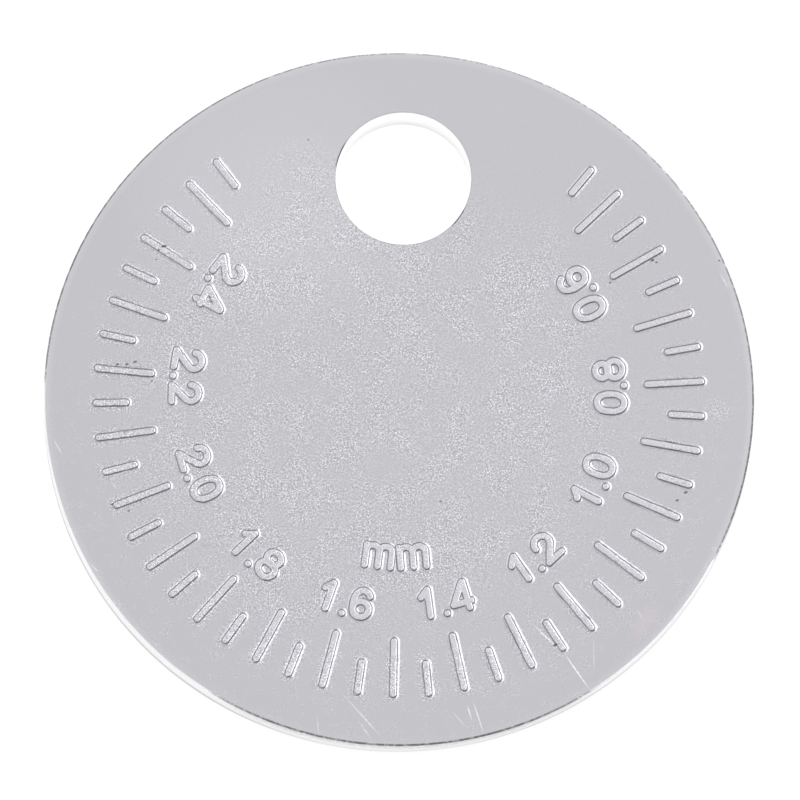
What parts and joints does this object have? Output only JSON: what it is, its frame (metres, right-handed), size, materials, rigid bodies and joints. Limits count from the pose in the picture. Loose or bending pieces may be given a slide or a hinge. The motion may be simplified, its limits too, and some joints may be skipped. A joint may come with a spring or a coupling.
{
  "type": "spark plug gap gauge",
  "caption": "Flat metal disc gauge with a keyring hole, a wedge-shaped rim that measures spark plug gaps and a raised scale of marks on its face.",
  "frame": {"origin": "centre of the disc on its underside, the plane that it rests on", "axes": "+Z out of the marked face, +Y from the centre towards the keyring hole, +X to the right of the hole as the face is read, on the side of the small gaps"},
  "size_m": [0.034, 0.034, 0.0027],
  "materials": {
    "satin_nickel": "satin nickel plate on die-cast zinc alloy, lightly scratched"
  },
  "bodies": {
    "root": {"gauge_disc": "satin_nickel"}
  },
  "joints": []
}
